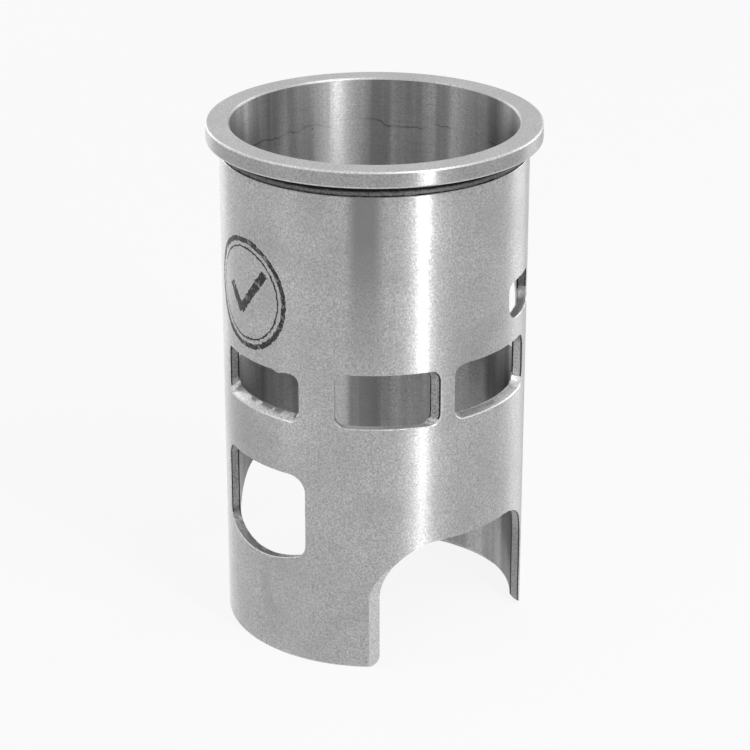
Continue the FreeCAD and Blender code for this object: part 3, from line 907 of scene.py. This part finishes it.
STEPS_ROUND = 720
SLIVER = 0.012
sleeve_mesh = run_tree(STEPS_ROUND)
sleeve_mesh.materials.clear()
for material in SHEET:
    sleeve_mesh.materials.append(material)
for helper in (section_object, centre_object, side_object, skin_object):
    bpy.data.objects.remove(helper)
bm = bmesh.new()
bm.from_mesh(sleeve_mesh)
bmesh.ops.dissolve_degenerate(bm, dist=SLIVER * MM, edges=bm.edges)
open_edges = sum(1 for e in bm.edges if not e.is_manifold)
print("sleeve", len(bm.faces), "faces,", round(bm.calc_volume(signed=True) * 1e9), "mm3,",
      open_edges, "open edges")

# %% [markdown]
# Every face gets a finish from where it lies: its least and greatest radius and height,
# and whether it faces up. Some finishes are the cut that made the face, and some are painted
# light and shade: faces that look up are lighter, and a dark line runs along the edges of the
# others. A material on each tool would do much of it too, but here one rule in one place names all the
# finishes.


# %% A finish for every face
CLOSE = 0.01
OUTER_EDGE = 0.27
OUTER_SHADE_REACH = 0.6
INNER_SHADE_REACH = 0.42


def finish_of(face):
    """The finish of a face, from its radius, height and direction."""
    radii = [math.hypot(v.co.x, v.co.y) / MM for v in face.verts]
    heights = [v.co.z / MM for v in face.verts]
    low_r = min(radii)
    high_r = max(radii)
    if low_r > BODY_R - CLOSE and high_r < BODY_R + CLOSE:
        return BODY
    if low_r > FLANGE_R - CLOSE:
        return RIM
    # The deck looks up, and the seat under the flange looks down.
    faced_at = HEIGHT if face.normal.z > 0 else SEAT
    if abs(face.normal.z) > 0.99 and min(heights) > faced_at - CLOSE:
        return DECK
    if high_r < BORE_R + CLOSE:
        return BORE
    if min(heights) > SEAT - RELIEF_W - CLOSE and max(heights) < SEAT + CLOSE:
        return GROOVE
    if min(heights) > SEAT:
        return DECK if high_r < BORE_R + MOUTH + CLOSE else EDGE
    if max(heights) < LEAD_IN + 0.3 and high_r < BORE_R + LEAD_IN + 0.1:
        return BORE
    if low_r > BODY_R - OUTER_EDGE:
        return EDGE
    # Faces that look up get the lighter finish and the rest the darker one: painted light and shade.
    upward = face.normal.z > 0.45
    # Painted shade along the outer and bore edges of faces that don't look up.
    if not upward and (low_r > BODY_R - OUTER_SHADE_REACH or high_r < BORE_R + INNER_SHADE_REACH):
        return EDGE_SHADE
    return FLOOR if upward else SIDE


HARD_ANGLE = 32.0
kinds = []
for face in bm.faces:
    kind = SHEET.index(finish_of(face))
    face.material_index = kind
    face.smooth = True
    kinds.append(kind)
for edge in bm.edges:
    if len(edge.link_faces) == 2:
        a, b = edge.link_faces
        hard = a.material_index != b.material_index
        edge.smooth = not (hard or edge.calc_face_angle() > math.radians(HARD_ANGLE))
bm.to_mesh(sleeve_mesh)
bm.free()
sleeve_mesh.name = "liner_sleeve"
sleeve = bpy.data.objects.new("liner_sleeve", sleeve_mesh)
bpy.context.scene.collection.objects.link(sleeve)
print("faces by finish", {m.name: kinds.count(i) for i, m in enumerate(SHEET)})

# %% [markdown]
# The wall is made of flats half a degree wide. Reflections of a lamp would show them, so the
# turned and the honed faces get the normals of the true cylinder. A zero vector leaves a
# corner its own normal.

# %% True cylinder normals
normals = []
for face in sleeve_mesh.polygons:
    finish = SHEET[face.material_index]
    way = 1 if finish in (BODY, RIM) else -1 if finish == BORE else 0
    if abs(face.normal.z) > 0.3:
        way = 0
    for corner in face.vertices:
        spot = sleeve_mesh.vertices[corner].co
        normals.append(Vector((spot.x, spot.y, 0)).normalized() * way)
sleeve_mesh.normals_split_custom_set(normals)
print("custom normals on", sum(1 for n in normals if n.length > 0.5), "corners")

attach(sleeve, "root")
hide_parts(NODE)

# %% [markdown]
# The picture: a pale floor and a white surround that the metal sees too. The camera and the
# gloss see the floor as nearly white, and every other ray sees paper, so the floor keeps
# the sleeve's shadow. The surround lights the object at less than the strength it shows.


# %% Floor
FLOOR_GLOW = 0.88
FLOOR_REACH = 4000


def floor_material():
    material = bpy.data.materials.new("pale_paper_floor")
    material.use_nodes = True
    nodes = material.node_tree
    nodes.nodes.clear()
    paper = add(nodes, "ShaderNodeBsdfDiffuse", {"Color": colour("e6e6e6")})
    glow = add(nodes, "ShaderNodeEmission", {"Color": (1, 1, 1, 1), "Strength": 1.0})
    ray = add(nodes, "ShaderNodeLightPath").outputs
    seen = add(nodes, "ShaderNodeMath",
               {0: ray["Is Camera Ray"], 1: ray["Is Glossy Ray"]}, operation="MAXIMUM")
    share = add(nodes, "ShaderNodeMath", {0: seen.outputs[0], 1: FLOOR_GLOW}, operation="MULTIPLY")
    mix = add(nodes, "ShaderNodeMixShader",
              {0: share.outputs[0], 1: paper.outputs[0], 2: glow.outputs[0]})
    add(nodes, "ShaderNodeOutputMaterial", {"Surface": mix.outputs[0]})
    return material


corners = [(FLOOR_REACH * x, FLOOR_REACH * y, 0) for x, y in ((-1, -1), (1, -1), (1, 1), (-1, 1))]
floor = mesh_object("floor", corners, faces=[(0, 1, 2, 3)])
floor.data.materials.append(floor_material())
floor.location.z = -0.00005
print("floor", 2 * FLOOR_REACH * MM, "m wide,", floor.data.materials[0].name)

# %% World
SURROUND_LIGHT = 0.45
world = bpy.data.worlds.new("white_surround")
bpy.context.scene.world = world
world.use_nodes = True
sky = world.node_tree
sky.nodes.clear()
ray = add(sky, "ShaderNodeLightPath").outputs
direct = add(sky, "ShaderNodeMath", {0: ray["Is Camera Ray"], 1: ray["Is Glossy Ray"]},
             operation="MAXIMUM")
seen = add(sky, "ShaderNodeMath", {0: direct.outputs[0], 1: ray["Is Transmission Ray"]},
           operation="MAXIMUM")
level = add(sky, "ShaderNodeMapRange", {"Value": seen.outputs[0], 3: SURROUND_LIGHT, 4: 1.0})
back = add(sky, "ShaderNodeBackground", {"Color": (1, 1, 1, 1), "Strength": level.outputs[0]})
add(sky, "ShaderNodeOutputWorld", {"Surface": back.outputs[0]})
print("surround of", len(sky.nodes), "nodes")

# %% [markdown]
# The lamps. A narrow upright one at the right of the camera makes the bright streak down the
# sleeve, which is what tells the eye that the surface is turned. A large soft lamp high on
# the right gives that streak its glow, a smaller one lifts the left, and one on either side
# draws the bright edges. Width and height are in mm, power in watts.


# %% Lamps
def round_about(azimuth, distance, height):
    """A place round the liner, in metres, from an azimuth and mm."""
    a = math.radians(azimuth)
    return Vector((distance * math.sin(a), -distance * math.cos(a), height)) * MM


def lamp(name, place, aim, width, height, watts):
    data = bpy.data.lights.new(name, "AREA")
    data.shape = "RECTANGLE"
    data.size = width * MM
    data.size_y = height * MM
    data.energy = watts
    thing = bpy.data.objects.new(name, data)
    bpy.context.scene.collection.objects.link(thing)
    thing.location = place
    thing.rotation_mode = "QUATERNION"
    thing.rotation_quaternion = (aim - place).to_track_quat("-Z", "Y")
    thing.visible_camera = False
    return thing


middle = Vector((0, 0, 65)) * MM
near = round_about(83.7, 306, 340)
lamp("upright_strip", near, Vector((0, 0, near.z)), 15, 600, 0.56)
lamp("soft_overhead", round_about(96, 700, 900), middle, 500, 500, 2.6)
lamp("soft_left", round_about(-25, 900, 900), middle, 120, 600, 0.7)
lamp("edge_left", round_about(-95, 1000, 300), middle, 400, 800, 1.7)
lamp("edge_right", round_about(178, 1000, 300), middle, 400, 800, 2.0)
print({light.name: round(light.energy, 2) for light in bpy.data.lights}, "W")

# %% [markdown]
# The camera stands where the photograph's did, as nearly as a camera without shift can: a
# fit to the rims, edges and ports of the same solid. It looks down at 23 degrees.

# %% Camera
data = bpy.data.cameras.new("camera")
data.sensor_width = 36.0
data.lens = 123.64
camera = bpy.data.objects.new("camera", data)
bpy.context.scene.collection.objects.link(camera)
tilt = math.radians(22.877)
pan = math.radians(0.0111)
heading = math.radians(50.0)
ahead = Vector((-math.sin(heading - pan), math.cos(heading - pan), 0)) * math.cos(tilt)
ahead.z = -math.sin(tilt)
camera.location = Vector((431.96, -362.46, 297.12)) * MM
camera.rotation_mode = "QUATERNION"
camera.rotation_quaternion = ahead.to_track_quat("-Z", "Y")
bpy.context.scene.camera = camera
bpy.context.scene.view_settings.view_transform = "Standard"
print("camera at", [round(c / MM) for c in camera.location])
